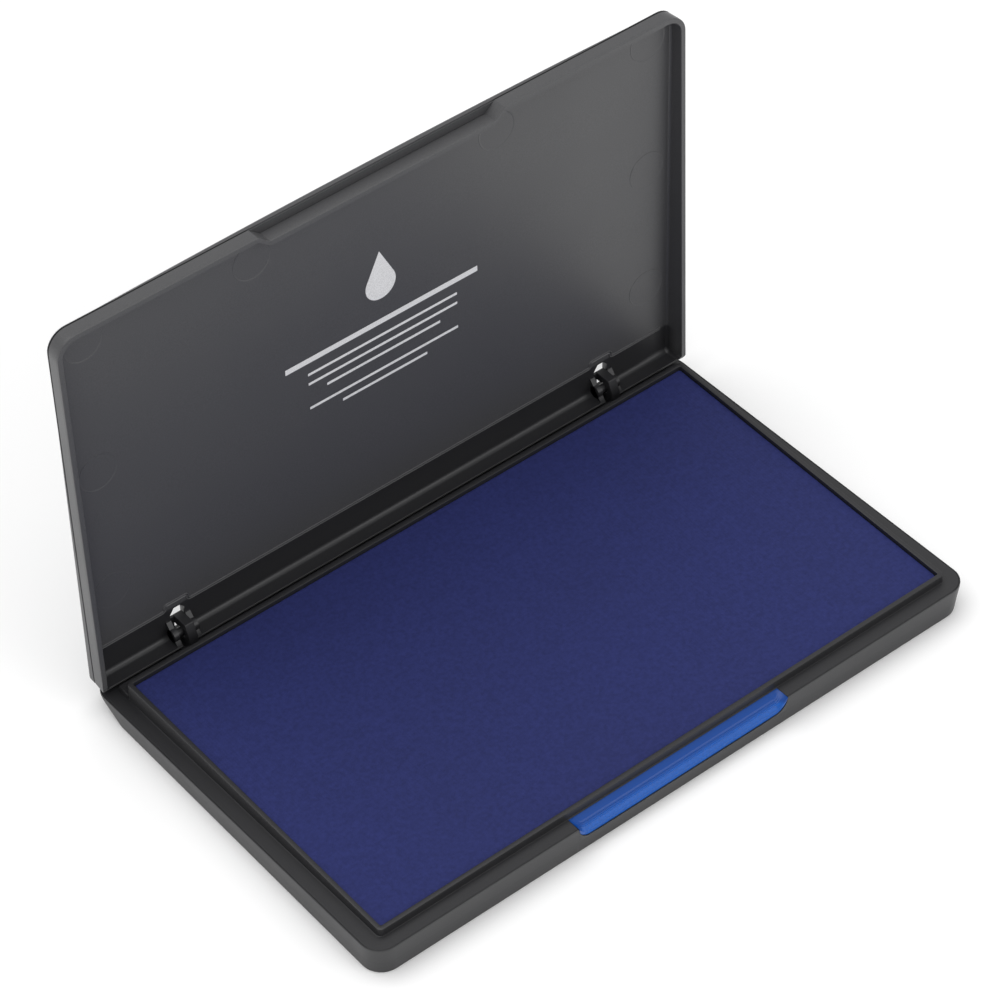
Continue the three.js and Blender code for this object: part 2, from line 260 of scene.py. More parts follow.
def moulding(name, part, material, body, node, sharp=38, turn_outwards=False):
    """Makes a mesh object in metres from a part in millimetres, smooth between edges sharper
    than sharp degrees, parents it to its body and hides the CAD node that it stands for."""
    points, faces = part
    mesh = welded_mesh(name, points * 0.001, faces, WELD * 0.001, turn_outwards)
    mesh.shade_smooth()
    mesh.set_sharp_from_angle(angle=radians(sharp))
    mesh.materials.append(material)
    piece = bpy.data.objects.new(name, mesh)
    scene.collection.objects.link(piece)
    weighted = piece.modifiers.new("flat_faces_stay_flat", "WEIGHTED_NORMAL")
    weighted.keep_sharp = True
    weighted.weight = 80
    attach(piece, body)
    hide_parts(node)
    return piece


def noise(tree, place, scale, detail, roughness=0.5):
    """A noise node that reads the given place."""
    node = tree.nodes.new("ShaderNodeTexNoise")
    node.inputs["Scale"].default_value = scale
    node.inputs["Detail"].default_value = detail
    node.inputs["Roughness"].default_value = roughness
    tree.links.new(place, node.inputs["Vector"])
    return node


def moved_range(tree, value, before, after):
    """The value, moved in proportion from one range to another and held inside it."""
    node = tree.nodes.new("ShaderNodeMapRange")
    for label, number in zip(("From Min", "From Max", "To Min", "To Max"), (*before, *after)):
        node.inputs[label].default_value = number
    tree.links.new(value, node.inputs["Value"])
    return node.outputs["Result"]


def multiplied(tree, colour, factor):
    """The colour times a factor."""
    mix = tree.nodes.new("ShaderNodeMix")
    mix.data_type = "RGBA"
    mix.blend_type = "MULTIPLY"
    mix.inputs[0].default_value = 1
    tree.links.new(colour, mix.inputs[6])
    tree.links.new(factor, mix.inputs[7])
    return mix.outputs[2]


def bumped(tree, height, strength, distance, normal):
    """A bump of the given height, led to a normal socket."""
    node = tree.nodes.new("ShaderNodeBump")
    node.inputs["Strength"].default_value = strength
    node.inputs["Distance"].default_value = distance
    tree.links.new(height, node.inputs["Height"])
    tree.links.new(node.outputs["Normal"], normal)
    return node


def mould_grain_group():
    """Spark-eroded mould grain: fine noise gives a bump and specks of tone, and coarse noise a
    little patchy shine."""
    group = bpy.data.node_groups.new("mould_grain", "ShaderNodeTree")
    face = group.interface
    for label, kind, value in (("Colour", "NodeSocketColor", (0.03, 0.03, 0.032, 1)),
                               ("Roughness", "NodeSocketFloat", 0.4),
                               ("Grain per metre", "NodeSocketFloat", 4500.0),
                               ("Depth", "NodeSocketFloat", 0.25)):
        face.new_socket(label, in_out="INPUT", socket_type=kind).default_value = value
    for label, kind in (("Colour", "NodeSocketColor"), ("Roughness", "NodeSocketFloat"),
                        ("Normal", "NodeSocketVector")):
        face.new_socket(label, in_out="OUTPUT", socket_type=kind)
    nodes, link = group.nodes, group.links.new
    inputs, outputs = nodes.new("NodeGroupInput"), nodes.new("NodeGroupOutput")
    place = nodes.new("ShaderNodeTexCoord").outputs["Object"]
    fine = noise(group, place, 4500, 2, 0.6)
    link(inputs.outputs["Grain per metre"], fine.inputs["Scale"])
    patch = noise(group, place, 45, 5)
    bump = bumped(group, fine.outputs["Fac"], 0.25, 0.00004, outputs.inputs["Normal"])
    link(inputs.outputs["Depth"], bump.inputs["Strength"])
    shine = nodes.new("ShaderNodeMath")
    link(inputs.outputs["Roughness"], shine.inputs[0])
    link(moved_range(group, patch.outputs["Fac"], (0.3, 0.7), (-0.03, 0.04)), shine.inputs[1])
    link(shine.outputs["Value"], outputs.inputs["Roughness"])
    speck = moved_range(group, fine.outputs["Fac"], (0.35, 0.65), (0.86, 1.14))
    link(multiplied(group, inputs.outputs["Colour"], speck), outputs.inputs["Colour"])
    return group


mould_grain = mould_grain_group()


def moulded_plastic(name, colour, roughness, grain=4500.0, depth=0.25):
    """Injection-moulded plastic: Principled shader with the mould grain group in front of it."""
    material = bpy.data.materials.new(name)
    material.use_nodes = True
    nodes, link = material.node_tree.nodes, material.node_tree.links.new
    shader = nodes["Principled BSDF"]
    grain_node = nodes.new("ShaderNodeGroup")
    grain_node.node_tree = mould_grain
    grain_node.inputs["Colour"].default_value = (*colour, 1)
    grain_node.inputs["Roughness"].default_value = roughness
    grain_node.inputs["Grain per metre"].default_value = grain
    grain_node.inputs["Depth"].default_value = depth
    link(grain_node.outputs["Colour"], shader.inputs["Base Color"])
    link(grain_node.outputs["Roughness"], shader.inputs["Roughness"])
    link(grain_node.outputs["Normal"], shader.inputs["Normal"])
    return material


case_black = moulded_plastic("case_black", (0.021, 0.021, 0.023), 0.42)

base_columns = across(78, 27, [27.3, 27.9, 28.5, 29.1, 29.5, 29.8, 30.0, 30.05, 30.12])
base_rows = np.linspace(-43, 41, 13)


def case_loop(z, inset, undercut_shift=0.0):
    """Outline of the case at height z: drafted walls, cut short at the back by the undercut."""
    lean = DRAFT * (FRONT_HEIGHT - z) + inset
    back = min(CASE_BACK - lean, UNDERCUT_FOOT - undercut_shift + z / UNDERCUT_SLOPE)
    return loop(CASE_HALF - lean, CASE_FRONT + lean, back, CASE_CORNER - min(inset, INNER_CORNER),
                base_columns, base_rows)


def window_bend(u):
    """Height of the window's lower edge at a distance u from the middle: level, then up round a
    quarter circle at each end."""
    out = np.clip(u - (WINDOW_HALF - WINDOW_CORNER), 0, WINDOW_CORNER)
    return WINDOW_SILL + WINDOW_CORNER - np.sqrt(WINDOW_CORNER ** 2 - out ** 2)


def window_edge(x, y):
    """Top of the wall inside the window, and far above it elsewhere."""
    u = np.abs(x)
    return np.where((u < WINDOW_HALF) & (y < FRONT_WALL), window_bend(u), 99)


def below_shoulder(inset, drop, columns, rows):
    """Plan outline of the drafted wall, moved inwards by inset, at a drop below the shoulder. The
    wall leans towards the core, and its height and its lean settle in three rounds."""
    wide = loop(CASE_HALF - inset, CASE_FRONT + inset, CASE_BACK - inset,
                CASE_CORNER - min(inset, INNER_CORNER), columns, rows)
    centre = np.column_stack([np.clip(wide[:, 0], -CORE_HALF, CORE_HALF),
                              np.clip(wide[:, 1], CORE_FRONT, CORE_BACK)])
    out = wide - centre
    out /= np.linalg.norm(out, axis=1)[:, None]
    low = wide
    for _ in range(3):
        lean = DRAFT * (FRONT_HEIGHT - shoulder(low[:, 1]) + drop)
        low = wide - out * lean[:, None]
    return low


def case_level(z, inset, shift=0.0, drop=None):
    """One loop of the base at height z, or at a drop below the shoulder, cut by the window.
    Inside the lip it stops short at the back, where the lip is wider."""
    if drop is None:
        plan = case_loop(z, inset, shift)
        return at_height(plan, lambda x, y: np.minimum(z, window_edge(x, y)))
    low = below_shoulder(inset, drop, base_columns, base_rows)
    if inset > LIP / 2:
        low[:, 1] = np.minimum(low[:, 1], REAR_LIP)
    return at_height(low, lambda x, y: np.minimum(shoulder(y) - drop, window_edge(x, y)))


# Up the outer wall, over the lip, down into the rebate, in to the inner wall and down to the floor
base_levels = [case_level(0, 0.4), case_level(0.08, 0.12), case_level(0.3, 0),
               case_level(3.2, 0), case_level(3.7, 0), case_level(4.0, 0.02),
               case_level(0, 0, drop=0.75), case_level(0, 0, drop=0.25),
               case_level(0, 0.04, drop=0.07), case_level(0, 0.13, drop=0),
               case_level(0, LIP - 0.06, drop=0), case_level(0, LIP, drop=0.06),
               case_level(0, LIP, drop=REBATE), case_level(0, WALL, drop=REBATE),
               case_level(3.3, WALL, 2.75), case_level(FLOOR, WALL, 2.75)]
base_part = shell(base_levels, base_columns, base_rows, floor=0.0, top=FLOOR)
moulding("case_base", base_part, case_black, "base", "base_shell")


# ---- Pad frame ----------------------------------------------------------------------------
# The inner moulding that drops inside the lip: a sloping ledge, a well for the pad with a thin
# raised rim, and a low shelf behind it. Two standing arms carry the knuckles that the lid's pins
# snap into, each with a tongue beside it that closes the lid's slot.

frame_black = moulded_plastic("frame_black", (0.016, 0.016, 0.018), 0.45)
RIM_HALF_X, RIM_HALF_Y, RIM_WALL, RIM_TOP, PLATE = 81.2, 45.8, 1.2, 10.4, 1.5
WELL_FLOOR, FRAME_BOTTOM = 3.0, corners_mm("pad_frame")[0][2]
frame_columns = across(78, 27, [29.9, 30.07, 30.12])
frame_rows = np.linspace(-42, 42, 13)


def ledge_level(inset, drop):
    """One loop of the ledge's edge, notched in front so that the colour insert can stand there."""
    plan = below_shoulder(inset, drop, frame_columns, frame_rows)
    plan[:, 1] = np.minimum(plan[:, 1], REAR_LIP - 0.05)
    notch = (np.abs(plan[:, 0]) < WINDOW_HALF + 0.02) & (plan[:, 1] < FRONT_WALL)
    plan[notch, 1] = -RIM_HALF_Y - 0.02
    return at_height(plan, lambda x, y: shoulder(y) - drop)


def rim_level(inset, z, corner=1.2):
    """One loop of the raised rim: a rounded rectangle, moved inwards by inset."""
    return at_height(loop(RIM_HALF_X - inset, -RIM_HALF_Y + inset, RIM_HALF_Y - inset,
                          max(corner - inset, 0.45), frame_columns, frame_rows), z)


# Up outside the well, out under the ledge, over its edge and back in, then over the rim and down
frame_levels = [rim_level(0, FRAME_BOTTOM), rim_level(0, lambda x, y: shoulder(y) - PLATE),
                ledge_level(0.45, PLATE), ledge_level(0.37, 0.12), ledge_level(0.39, 0.04),
                ledge_level(0.46, 0.0),
                rim_level(-0.3, lambda x, y: shoulder(y)),
                rim_level(-0.08, lambda x, y: shoulder(y) + 0.08),
                rim_level(0, lambda x, y: shoulder(y) + 0.3),
                rim_level(0, RIM_TOP - 0.3), rim_level(0.07, RIM_TOP - 0.08), rim_level(0.28, RIM_TOP),
                rim_level(RIM_WALL - 0.28, RIM_TOP), rim_level(RIM_WALL - 0.07, RIM_TOP - 0.08),
                rim_level(RIM_WALL, RIM_TOP - 0.3), rim_level(RIM_WALL, WELL_FLOOR)]
frame_part = shell(frame_levels, frame_columns, frame_rows, floor=FRAME_BOTTOM, top=WELL_FLOOR)
moulding("pad_frame_body", frame_part, frame_black, "base", "pad_frame")

HINGE_Y, HINGE_Z = np.array(frame["joints"][0]["pos_m"][1:]) * 1000
HINGE_X = np.array([-61.0, 63.0])
ARM_TOP, ARM_FRONT, ARM_BACK, ARM_FOOT, ARM_LEAN = 3.2, 2.5, 3.0, 4.6, 1.1
ARM_HEEL_Y, ARM_HEEL_Z = HINGE_Y - 0.1, 5.5
BORE, SNAP_MOUTH = 1.4, 0.9


def capped(rings):
    """Closed loops of points joined in order, with a face over the first and over the last."""
    count, total = len(rings[0]), len(rings) * len(rings[0])
    ends = [list(range(count))[::-1], list(range(total - count, total))]
    return np.vstack(rings), quads_between(len(rings), count) + ends


def carried_along_x(outline, x0, x1):
    """A closed (y, z) outline carried from x0 to x1, with a face on each end."""
    return capped([np.column_stack([np.full(len(outline), x), outline]) for x in (x0, x1)])


def knuckle_outline():
    """A narrow standing arm with a flat top and a front that leans back, and a C-shaped bore open
    to the back for the lid's pin."""
    def arc(y, z, r, a0, a1, n):
        a = np.radians(np.linspace(a0, a1, n))
        return np.column_stack([y + r * np.cos(a), z + r * np.sin(a)])

    top, front, back = HINGE_Z + ARM_TOP, HINGE_Y - ARM_FRONT, HINGE_Y + ARM_BACK
    return np.vstack([
        [(back, HINGE_Z - SNAP_MOUTH), (back, ARM_HEEL_Z), (ARM_HEEL_Y, ARM_HEEL_Z),
         (ARM_HEEL_Y, ARM_FOOT), (front - ARM_LEAN, ARM_FOOT), (front - 0.95, HINGE_Z - 0.3)],
        arc(front + 0.8, top - 0.3, 0.3, 156, 90, 5), arc(back - 0.5, top - 0.5, 0.5, 90, 0, 6),
        [(back, HINGE_Z + SNAP_MOUTH)],
        arc(HINGE_Y, HINGE_Z, BORE, 40, 320, 22)])


def upright(y0, y1, z0, z1):
    """A rectangle in the (y, z) plane."""
    return np.array([(y0, z0), (y1, z0), (y1, z1), (y0, z1)])


knuckle_parts = [carried_along_x(knuckle_outline(), x - 0.75, x + 1.65) for x in HINGE_X]
tongue = upright(HINGE_Y + 2.3, HINGE_Y + 2.9, ARM_HEEL_Z + 0.1, HINGE_Z + ARM_TOP - 0.1)
knuckle_parts += [carried_along_x(tongue, x - 1.9, x - 0.7) for x in HINGE_X]
shelf = upright(RIM_HALF_Y - RIM_WALL / 2, HINGE_Y - 3.0, ARM_FOOT + 0.1, shoulder(RIM_HALF_Y) + 1.4)
knuckle_parts.append(carried_along_x(shelf, -RIM_HALF_X, RIM_HALF_X))
knuckles = moulding("hinge_knuckles", joined(*knuckle_parts), frame_black, "base", "pad_frame",
                    turn_outwards=True)
soft_edge = knuckles.modifiers.new("soft_edge", "BEVEL")
soft_edge.width = 0.00016
soft_edge.segments = 3
soft_edge.limit_method = "ANGLE"
soft_edge.angle_limit = radians(40)
knuckles.modifiers.move(1, 0)


# ---- Colour insert ------------------------------------------------------------------------
# A glossy blue scoop in the middle of the front edge, which shows the ink's colour and gives
# the thumb room to lift the lid. It is clipped in from inside the front wall.

insert_blue = moulded_plastic("insert_blue", (0.003, 0.082, 0.38), 0.3, 3000.0, 0.08)
insert_blue.node_tree.nodes["Principled BSDF"].inputs["Specular IOR Level"].default_value = 0.35


def darker_where(material, mask_group, colour):
    """Mixes a darker colour, as painted shade, into a moulded plastic where a mask group gives one."""
    nodes, link = material.node_tree.nodes, material.node_tree.links.new
    shader = nodes["Principled BSDF"]
    source = shader.inputs["Base Color"].links[0].from_socket
    mask = nodes.new("ShaderNodeGroup")
    mask.node_tree = mask_group
    mix = nodes.new("ShaderNodeMix")
    mix.data_type = "RGBA"
    mix.inputs[7].default_value = (*colour, 1)
    link(mask.outputs["Mask"], mix.inputs[0])
    link(source, mix.inputs[6])
    link(mix.outputs[2], shader.inputs["Base Color"])


def zone_group(name, limits):
    """Mask that is one inside every limit and zero outside. A limit gives an axis of the object
    (X is taken without its sign), an edge and how far past the edge the mask fades out. A fade
    below zero keeps the side above the edge."""
    group = bpy.data.node_groups.new(name, "ShaderNodeTree")
    group.interface.new_socket("Mask", in_out="OUTPUT", socket_type="NodeSocketFloat")
    nodes, link = group.nodes, group.links.new
    place = nodes.new("ShaderNodeTexCoord")
    axes = nodes.new("ShaderNodeSeparateXYZ")
    link(place.outputs["Object"], axes.inputs[0])
    unsigned = nodes.new("ShaderNodeMath")
    unsigned.operation = "ABSOLUTE"
    link(axes.outputs["X"], unsigned.inputs[0])
    sockets = {"X": unsigned.outputs["Value"], "Y": axes.outputs["Y"], "Z": axes.outputs["Z"]}
    steps = [moved_range(group, sockets[axis], (edge, edge + fade), (1, 0))
             for axis, edge, fade in limits]
    total = steps[0]
    for step in steps[1:]:
        times = nodes.new("ShaderNodeMath")
        times.operation = "MULTIPLY"
        link(total, times.inputs[0])
        link(step, times.inputs[1])
        total = times.outputs["Value"]
    link(total, nodes.new("NodeGroupOutput").inputs["Mask"])
    return group


# Painted shade: above 7.4 mm the scoop gets a darker blue for the shadow that the rim casts on it.
darker_where(insert_blue, zone_group("upper_scoop_painted_shade", [("Z", 0.0074, -0.0006)]), (0.002, 0.05, 0.26))
INSERT_HALF, SCOOP_RAMP, SILL_GAP = 30.0, 2.4, 0.06
INSERT_BACK, INSERT_FOOT = -RIM_HALF_Y - 0.3, 1.9
FLANGE_FRONT = CASE_FRONT + 2.2


def insert_sections():
    """For each x, a closed (y, z) section: full height at the ends, scooped out between them.
    Each end of the scoop is a slope that joins the two sections along a straight ramp. Down the
    scoop's face run three fine ribs, each a step out and back along the slope."""
    start = INSERT_HALF - SCOOP_RAMP
    x = across(27, 13, [27.4, start, 27.75, 28.2, 28.6, 29.0, 29.35, 29.6, 29.8, 29.92, INSERT_HALF])
    ramp = np.clip((np.abs(x) - start) / SCOOP_RAMP, 0, 1)
    low = window_bend(np.abs(x) + WINDOW_HALF - INSERT_HALF) + SILL_GAP

    def front_at(z):
        return CASE_FRONT + DRAFT * (FRONT_HEIGHT - z)

    brim = shoulder(INSERT_BACK)
    lip = np.array([-47.9, 7.6])
    down, outward = np.array([-0.595, -0.804]), np.array([-0.804, 0.595])
    ribs = [tuple(lip + s * down + h * outward) for s, h in (
        (0, 0), (0.12, 0), (0.26, 0.1), (0.4, 0), (0.58, 0), (0.72, 0.1), (0.86, 0), (1.04, 0),
        (1.18, 0.1), (1.32, 0))]
    scooped = [(INSERT_BACK, brim - 0.03), (-46.35, brim - 0.07), (-47.7, 7.8), *ribs,
               (-49.14, 5.98), (-49.32, 5.72), (front_at(5.2) + 0.16, 5.34), (front_at(5.1), 5.05)]
    level_y = np.linspace(INSERT_BACK, -49.3, len(scooped) - 2)
    full = [*zip(level_y, shoulder(level_y)), (-49.7, 8.33), (front_at(8.2), 8.2)]
    rows = [(y0 + (y1 - y0) * ramp, z0 + (z1 - z0) * ramp)
            for (y0, z0), (y1, z1) in zip(scooped, full)]
    rows += [(front_at(low), low), (FLANGE_FRONT, low), (FLANGE_FRONT, INSERT_FOOT),
             (INSERT_BACK, INSERT_FOOT)]
    grid = np.stack([np.column_stack(np.broadcast_arrays(x, y, z)) for y, z in rows])
    m, n = grid.shape[:2]
    index = np.arange(m * n).reshape(m, n)
    after = np.roll(index, -1, 0)
    faces = np.stack([index[:, :-1], after[:, :-1], after[:, 1:], index[:, 1:]], -1).reshape(-1, 4)
    return grid.reshape(-1, 3), faces.tolist() + [index[:, 0].tolist(), index[::-1, -1].tolist()]


moulding("blue_thumb_scoop", insert_sections(), insert_blue, "base", "colour_insert",
         sharp=16, turn_outwards=True)


# ---- Backing sheet, felt and cloth --------------------------------------------------------
# A stiff sheet lies on the floor of the well. The thick felt on it is soaked with blue ink, and
# a fine woven cloth is drawn over the felt and tucked down its four sides.

def colour_ramp(tree, value, low, high):
    """Colour for a value: it turns from one (value, colour) pair to the other."""
    node = tree.nodes.new("ShaderNodeValToRGB")
    for element, (position, colour) in zip(node.color_ramp.elements, (low, high)):
        element.position = position
        element.color = (*colour, 1)
    tree.links.new(value, node.inputs["Fac"])
    return node.outputs["Color"]


def noise_material(name, colour, second, roughness, scale, depth, distance):
    """Two colours mixed by noise, with the same noise as a bump, for felt or plain board."""
    material = bpy.data.materials.new(name)
    material.use_nodes = True
    nodes, link = material.node_tree.nodes, material.node_tree.links.new
    shader = nodes["Principled BSDF"]
    shader.inputs["Roughness"].default_value = roughness
    place = nodes.new("ShaderNodeTexCoord").outputs["Object"]
    grain = noise(material.node_tree, place, scale, 6).outputs["Fac"]
    link(colour_ramp(material.node_tree, grain, (0.35, colour), (0.68, second)),
         shader.inputs["Base Color"])
    bumped(material.node_tree, grain, depth, distance, shader.inputs["Normal"])
    return material


pad_columns, pad_rows = np.linspace(-77, 77, 45), np.linspace(-41, 41, 25)
CLOTH_HALF_X, CLOTH_HALF_Y, CLOTH_TOP, CLOTH_FOOT = 79.9, 44.5, 9.44, 3.4
BOARD_BOTTOM, BOARD_TOP = corners_mm("backing_sheet")[0][2], corners_mm("backing_sheet")[1][2]
FELT_BOTTOM, FELT_TOP = corners_mm("ink_felt")[0][2], corners_mm("ink_felt")[1][2] - 0.02


def pad_level(inset, corner, z):
    """One loop of a piece in the well: a rounded rectangle, moved inwards by inset from the
    cloth's outer sides."""
    half_x, half_y = CLOTH_HALF_X - inset, CLOTH_HALF_Y - inset
    return at_height(loop(half_x, -half_y, half_y, corner, pad_columns, pad_rows), z)


board = noise_material("board", (0.42, 0.40, 0.35), (0.58, 0.56, 0.5), 0.85, 900, 0.3, 0.0002)
board_levels = [pad_level(1.4, 0.8, BOARD_BOTTOM), pad_level(1.3, 0.9, BOARD_BOTTOM + 0.1),
                pad_level(1.3, 0.9, BOARD_TOP - 0.1), pad_level(1.4, 0.8, BOARD_TOP)]
board_part = shell(board_levels, pad_columns, pad_rows, floor=BOARD_BOTTOM, top=BOARD_TOP)
moulding("backing_board", board_part, board, "base", "backing_sheet")

felt = noise_material("inked_felt", (0.010, 0.011, 0.06), (0.03, 0.034, 0.14), 0.95, 1600, 0.8, 0.0005)
felt_levels = [pad_level(1.6, 1.0, FELT_BOTTOM), pad_level(1.3, 1.2, FELT_BOTTOM + 0.3),
               pad_level(1.3, 1.2, FELT_TOP - 0.53), pad_level(1.45, 1.2, FELT_TOP - 0.18),
               pad_level(1.9, 1.2, FELT_TOP)]
felt_part = shell(felt_levels, pad_columns, pad_rows, floor=FELT_BOTTOM, top=FELT_TOP)
felt_pad = moulding("felt_pad", felt_part, felt, "base", "ink_felt")


def cloth_height(x, y):
    """A drawn cloth: level, with crossed waves of slack over the felt that fade out towards the
    edge."""
    slack = 0.012 * np.sin(x / 9.0 + 0.6 * np.sin(y / 13.0)) * np.sin(y / 7.5 + 1.1)
    edge = np.minimum(CLOTH_HALF_X - np.abs(x), CLOTH_HALF_Y - np.abs(y))
    return CLOTH_TOP + slack * np.clip(edge / 6, 0, 1)


def cloth_material():
    """Fine plain weave soaked with ink: crossed waves for the threads, mottled by the felt below,
    with a weak wet sheen."""
    material = bpy.data.materials.new("inked_cloth")
    material.use_nodes = True
    nodes, link = material.node_tree.nodes, material.node_tree.links.new
    shader = nodes["Principled BSDF"]
    shader.inputs["Specular IOR Level"].default_value = 0.35
    tree = material.node_tree
    place = nodes.new("ShaderNodeTexCoord").outputs["Object"]
    weave = nodes.new("ShaderNodeMath")
    weave.operation = "MULTIPLY"
    for direction, factor in zip(("X", "Y"), weave.inputs):
        wave = nodes.new("ShaderNodeTexWave")
        wave.bands_direction = direction
        wave.inputs["Scale"].default_value = 420
        wave.inputs["Distortion"].default_value = 1.6
        wave.inputs["Detail"].default_value = 2
        wave.inputs["Detail Scale"].default_value = 1.4
        link(place, wave.inputs["Vector"])
        link(wave.outputs["Fac"], factor)
    mottle = noise(tree, place, 1100, 3).outputs["Fac"]
    patch = noise(tree, place, 30, 4).outputs["Fac"]
    height = nodes.new("ShaderNodeMath")
    height.operation = "MULTIPLY_ADD"
    height.inputs[1].default_value = 0.6
    link(weave.outputs["Value"], height.inputs[0])
    link(mottle, height.inputs[2])
    bumped(tree, height.outputs["Value"], 0.5, 0.00012, shader.inputs["Normal"])
    ink = colour_ramp(tree, mottle, (0.3, (0.0096, 0.0148, 0.092)), (0.75, (0.0160, 0.0230, 0.128)))
    tone = moved_range(tree, patch, (0.3, 0.7), (0.96, 1.04))
    link(multiplied(tree, ink, tone), shader.inputs["Base Color"])
    link(moved_range(tree, patch, (0, 1), (0.74, 0.8)), shader.inputs["Roughness"])
    return material


def facing_in(part):
    """The same skin with its faces turned round."""
    points, faces = part
    return points, [face[::-1] for face in faces]


cloth_levels = [pad_level(0.7, 0.6, CLOTH_FOOT), pad_level(0.3, 0.7, CLOTH_FOOT),
                pad_level(0, 0.7, 8.6), pad_level(0, 0.65, CLOTH_TOP - 0.18),
                pad_level(0.04, 0.6, CLOTH_TOP - 0.09), pad_level(0.16, 0.55, CLOTH_TOP - 0.03),
                pad_level(0.5, 0.5, cloth_height)]
inner_levels = [pad_level(0.7, 0.6, CLOTH_FOOT), pad_level(0.7, 0.6, 8.5), pad_level(1.0, 0.5, 8.65)]
outer_skin = shell(cloth_levels, pad_columns, pad_rows, top=cloth_height)
inner_skin = facing_in(shell(inner_levels, pad_columns, pad_rows, top=8.66))
cloth = moulding("inked_cover_cloth", joined(outer_skin, inner_skin), cloth_material(), "base",
                 "cover_cloth", sharp=60)


# ---- Lid ----------------------------------------------------------------------------------
# One satin black moulding: a side band, a fine groove above it, a gently arched top and a finger
# recess in front, and inside it a double bead across the panel. The back wall is rounded outside
# about the hinge axis. Two slots with moulded pins between webs clip on to the knuckles. It is
# worked out shut, then swung open.

lid_black = moulded_plastic("lid_black", (0.064, 0.064, 0.067), 0.38)
# Painted shade: the lid's inside low down by the hinge, in its trough, gets a darker colour for the
# shade there.
hinge_painted_shade = zone_group("hinge_painted_shade", [("Z", 0.0149, 0.0005), ("Y", 0.0547, 0.0002),
                                       ("X", 0.0838, 0.0002)])
darker_where(lid_black, hinge_painted_shade, (0.02, 0.02, 0.022))

LID_WALL, BACK_WALL, BACK_REACH, HINGE_RADIUS = 1.3, 1.4, 2.4, 3.3
LID_BACK, LID_REAR_CORNER = HINGE_Y + HINGE_RADIUS, 2.6
FINGER_HALF, FINGER_DEPTH, FINGER_SLOPE = 33.5, 2.4, 2.9
SLOT_HALF, SLOT_FRONT, WEB, PIN_RADIUS, BOSS_RADIUS = 2.0, 46.0, 1.3, 1.1, 1.6
RIM_GAP, BAND = 0.3, 3.8
PANEL, PANEL_LIFT, PANEL_FALL, CROWN_RISE = 1.1, 0.45, 0.0115, 1.3
LID_LEAN, LID_ROUND, GROOVE, GROOVE_DEPTH = 0.25, 0.9, 0.3, 0.4

lid_columns = across(79, 41, [30.4, 30.6, 30.8, 33.3, 33.5, 33.7])
lid_rows = np.linspace(-43.5, 48.9, 21)
LID_STEPS = 10


def rim_plane(y):
    """Height of the shut lid's free edge, a small gap above the shoulder."""
    return shoulder(y) + RIM_GAP


def band_top(y):
    """Height of the top of the side band."""
    return rim_plane(y) + BAND


def panel(y):
    """Height of the flat panel inside the lid, which falls a little towards the hinge."""
    return RIM_TOP + PANEL_LIFT - PANEL_FALL * (np.asarray(y, float) - RIM_HALF_Y)


def crown(x, y):
    """The top of the lid: tilts with the panel and arches from side to side."""
    return panel(y) + PANEL + CROWN_RISE * (1 - (x / CASE_HALF) ** 2)


def finger(x):
    """How far the finger recess goes in at x: a trapezium in plan."""
    return FINGER_DEPTH * np.clip((FINGER_HALF - np.abs(x)) / FINGER_SLOPE, 0, 1)


def lid_plan(inset, recess=0.0, rear=None):
    """Outline of the lid, moved inwards by inset, or by rear at the back, with the finger recess
    to a share of its depth."""
    plan = loop(CASE_HALF - inset, CASE_FRONT + inset, LID_BACK - (inset if rear is None else rear),
                max(CASE_CORNER - inset, 0.3), lid_columns, lid_rows, LID_STEPS,
                max(LID_REAR_CORNER - inset, 0.3))
    front = plan[:, 1] < CASE_FRONT + inset + 1e-6
    plan[front, 1] += recess * finger(plan[front, 0])
    return plan


def rounded_back(plan, radius, share, side_height):
    """The wall's lower part: behind the hinge line it follows a cylinder about the hinge axis,
    share of the way round from the wall to the free edge; elsewhere it has side_height."""
    y = plan[:, 1]
    start = np.arccos(np.clip((y - HINGE_Y) / radius, 0, 1))
    end = np.maximum(start, asin(BACK_REACH / HINGE_RADIUS))
    angle = start + (end - start) * share
    behind = y > HINGE_Y
    new_y = np.where(behind, HINGE_Y + radius * np.cos(angle), y)
    z = np.where(behind, HINGE_Z - radius * np.sin(angle), side_height(new_y))
    return np.column_stack([plan[:, 0], new_y, z])


def inner_edge(x, y):
    """Height of the lid's free edge inside: the rim plane, then the cylinder behind the hinge
    line, then the flat end of the back wall."""
    out = np.clip(y - HINGE_Y, 0, HINGE_RADIUS)
    round_end = HINGE_Z - np.sqrt(HINGE_RADIUS ** 2 - out ** 2)
    flat_end = HINGE_Z - BACK_REACH
    behind = round_end + (flat_end - round_end) * np.clip((y - HINGE_Y - 1.1) / 0.6, 0, 1)
    return np.where(y > HINGE_Y, behind, rim_plane(y))


def lid_outside():
    """Loops from the free edge up over the band, the groove and the crown's rounded edge."""
    def side(share):
        return lambda y: rim_plane(y) + 0.1 + 0.7 * share

    def band(rise):
        return lambda x, y: band_top(y) + rise

    def turned(a):
        inset = LID_LEAN + LID_ROUND * (1 - cos(a))
        return at_height(lid_plan(inset, 0), lambda x, y: np.maximum(
            crown(x, y) - LID_ROUND * (1 - sin(a)), band_top(y) + 0.4 + 0.1 * sin(a)))

    deep = LID_LEAN + GROOVE_DEPTH
    levels = [rounded_back(lid_plan(0.1, 1), HINGE_RADIUS - 0.1, 1.0, rim_plane)]
    levels += [rounded_back(lid_plan(0, 1), HINGE_RADIUS, 1 - s, side(s)) for s in np.linspace(0, 1, 8)]
    levels += [at_height(lid_plan(inset, recess), band(rise)) for inset, recess, rise in (
        (LID_LEAN, 1, -0.12), (LID_LEAN + 0.12, 1, 0), (deep, 0.97, 0), (deep, 0, 0.02),
        (deep, 0, GROOVE), (LID_LEAN + 0.08, 0, GROOVE), (LID_LEAN, 0, GROOVE + 0.06))]
    levels += [turned(a) for a in np.linspace(0, pi / 2, 6)]
    levels.append(at_height(lid_plan(2.2, 0), crown))
    return levels


